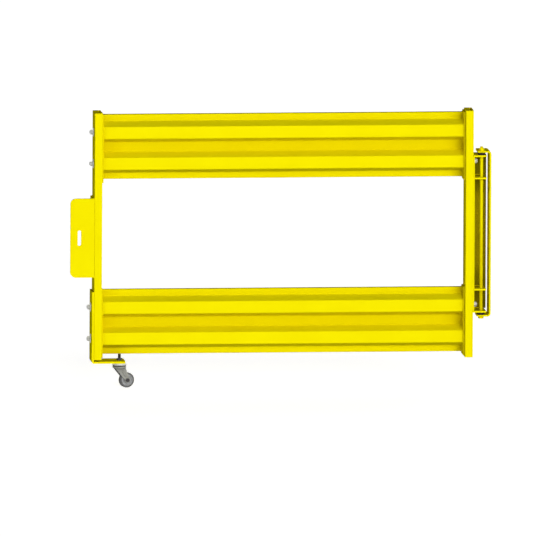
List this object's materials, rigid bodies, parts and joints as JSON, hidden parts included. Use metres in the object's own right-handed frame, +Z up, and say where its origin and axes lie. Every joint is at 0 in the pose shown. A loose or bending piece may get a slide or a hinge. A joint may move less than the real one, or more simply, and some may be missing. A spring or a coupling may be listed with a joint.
{
  "type": "swing gate for a guard rail",
  "caption": "Steel swing gate with ribbed rails between tube posts, hinged on a long pin in a C bracket and carried by a swivel caster.",
  "frame": {"origin": "middle of the hinge bracket's flat back, which bolts to a fixed post", "axes": "+X out of the bracket's back, with the closed leaf along -X; the leaf opens towards -Y; +Z up"},
  "size_m": [1.6655, 0.102, 1.0965],
  "materials": {
    "yellow_paint": "semi-gloss safety yellow powder coat on steel",
    "zinc_plate": "bright zinc plate",
    "black_nylon": "matte",
    "grey_rubber": "satin",
    "grey_plastic": "satin"
  },
  "bodies": {
    "bracket": {"hinge_bracket": "yellow_paint", "hinge_pin": "yellow_paint", "hinge_pin_nut": "yellow_paint", "lower_thrust_washer": "black_nylon", "upper_thrust_washer": "black_nylon"},
    "leaf": {"latch_post": "yellow_paint", "latch_post_cap": "yellow_paint", "hinge_post": "yellow_paint", "hinge_post_cap": "yellow_paint", "upper_rail": "yellow_paint", "lower_rail": "yellow_paint", "upper_rail_latch_plate": "yellow_paint", "upper_rail_hinge_plate": "yellow_paint", "lower_rail_latch_plate": "yellow_paint", "lower_rail_hinge_plate": "yellow_paint", "hinge_channel": "yellow_paint", "top_lug": "yellow_paint", "upper_lug": "yellow_paint", "lower_lug": "yellow_paint", "bottom_lug": "yellow_paint", "latch_angle": "yellow_paint", "caster_bracket": "yellow_paint", "caster_head": "zinc_plate", "caster_stem_nut": "zinc_plate"},
    "swivel": {"caster_fork": "zinc_plate", "caster_axle": "zinc_plate"},
    "wheel": {"caster_tread": "grey_rubber", "caster_hub": "grey_plastic", "caster_hub_sleeve": "zinc_plate"}
  },
  "joints": [
    {"name": "leaf_swing", "type": "hinge", "parent": "bracket", "child": "leaf", "pos_m": [-0.038, -0.035, 0], "axis": [0, 0, 1], "range_deg": [0, 95]},
    {"name": "caster_swivel", "type": "hinge", "parent": "leaf", "child": "swivel", "pos_m": [-1.4645, 0, -0.52], "axis": [0, 0, 1], "continuous": true},
    {"name": "wheel_roll", "type": "hinge", "parent": "swivel", "child": "wheel", "pos_m": [-1.43566, 0.00827, -0.5765], "axis": [0.2756, -0.9613, 0], "continuous": true}
  ]
}
